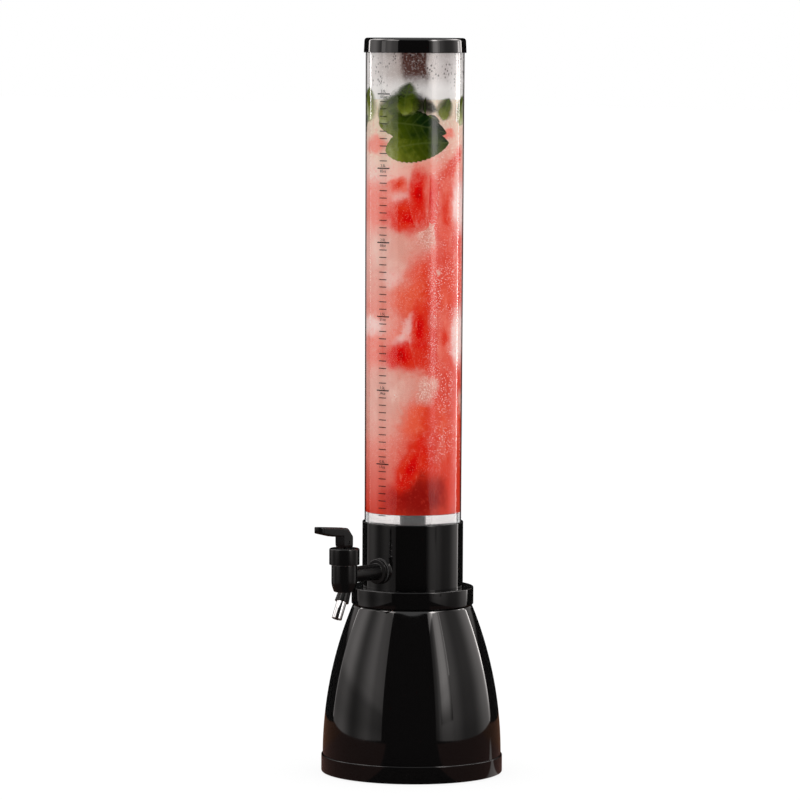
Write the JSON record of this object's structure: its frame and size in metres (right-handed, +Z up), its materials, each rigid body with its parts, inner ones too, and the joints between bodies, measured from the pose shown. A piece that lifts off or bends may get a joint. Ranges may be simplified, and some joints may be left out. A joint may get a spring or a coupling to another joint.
{
  "type": "table beer dispenser",
  "caption": "Table drinks tower: clear graduated tank of fruit drink on a bell-shaped black base, with locking collar, lift-off lid and a side tap worked by a lever.",
  "frame": {"origin": "on the tank's axis, at the flat underside of the anti-slip pad, which rests on the table", "axes": "+Z up along the tank's axis, -Y from the tank towards the tap and its lever, +X to the right of someone who looks along +Y at the tap"},
  "size_m": [0.185, 0.243, 0.748],
  "materials": {
    "black_gloss": "high gloss, moulded",
    "black_tap": "gloss, moulded",
    "clear_plastic": "clear and polished, with a printed scale",
    "pad_rubber": "matt",
    "seal_silicone": "satin",
    "spout_chrome": "polished",
    "screw_steel": "zinc plated",
    "drink": "clear red liquid",
    "melon": "wet fruit flesh",
    "ice": "wet and cloudy",
    "mint": "wet leaf"
  },
  "bodies": {
    "base": {"base_cover": "black_gloss", "anti_slip_pad": "pad_rubber", "base_screw_1": "screw_steel", "base_screw_2": "screw_steel", "base_screw_3": "screw_steel", "base_screw_4": "screw_steel", "bell_base": "black_gloss"},
    "tank": {"neck_housing": "black_gloss", "tube_gasket": "seal_silicone", "tank_tube": "clear_plastic", "tank_floor": "clear_plastic", "tap_body": "black_tap", "spout_tip": "spout_chrome", "outer_washer": "pad_rubber", "inner_washer": "pad_rubber", "shank_nut": "black_tap", "tap_bonnet": "black_tap", "stem_seal": "seal_silicone", "return_spring": "screw_steel", "drink": "drink", "melon_piece_1": "melon", "melon_piece_2": "melon", "melon_piece_3": "melon", "melon_piece_4": "melon", "melon_piece_5": "melon", "melon_piece_6": "melon", "melon_piece_7": "melon", "melon_piece_8": "melon", "melon_piece_9": "melon", "melon_piece_10": "melon", "ice_cube_1": "ice", "ice_cube_2": "ice", "ice_cube_3": "ice", "ice_cube_4": "ice", "ice_cube_5": "ice", "ice_cube_6": "ice", "mint_leaf_1": "mint", "mint_leaf_2": "mint", "mint_leaf_3": "mint", "mint_leaf_4": "mint"},
    "collar": {"locking_collar": "black_gloss"},
    "lid": {"lid": "black_gloss", "lid_seal": "seal_silicone"},
    "stem": {"tap_stem": "black_tap", "seat_plug": "seal_silicone"},
    "lever": {"tap_lever": "black_tap", "lever_pin": "screw_steel"}
  },
  "joints": [
    {"name": "tank_lift", "type": "slide", "parent": "base", "child": "tank", "axis": [0, 0, 1], "range_m": [0, 0.03]},
    {"name": "collar_turn", "type": "hinge", "parent": "tank", "child": "collar", "pos_m": [0, 0, 0.182], "axis": [0, 0, 1], "range_deg": [0, 180]},
    {"name": "lid_lift", "type": "slide", "parent": "tank", "child": "lid", "axis": [0, 0, 1], "range_m": [0, 0.04]},
    {"name": "stem_lift", "type": "slide", "parent": "tank", "child": "stem", "axis": [0, 0, 1], "range_m": [0, 0.00192], "stiffness_N_per_m": 1500, "springref_m": -0.003, "deforming": ["return_spring"]},
    {"name": "lever_tilt", "type": "hinge", "parent": "stem", "child": "lever", "pos_m": [0, -0.1075, 0.2441], "axis": [1, 0, 0], "range_deg": [0, 25]}
  ],
  "couplings": [
    {"joint": "lever_tilt", "follows": "stem_lift", "rad_per_m": 227.25}
  ]
}
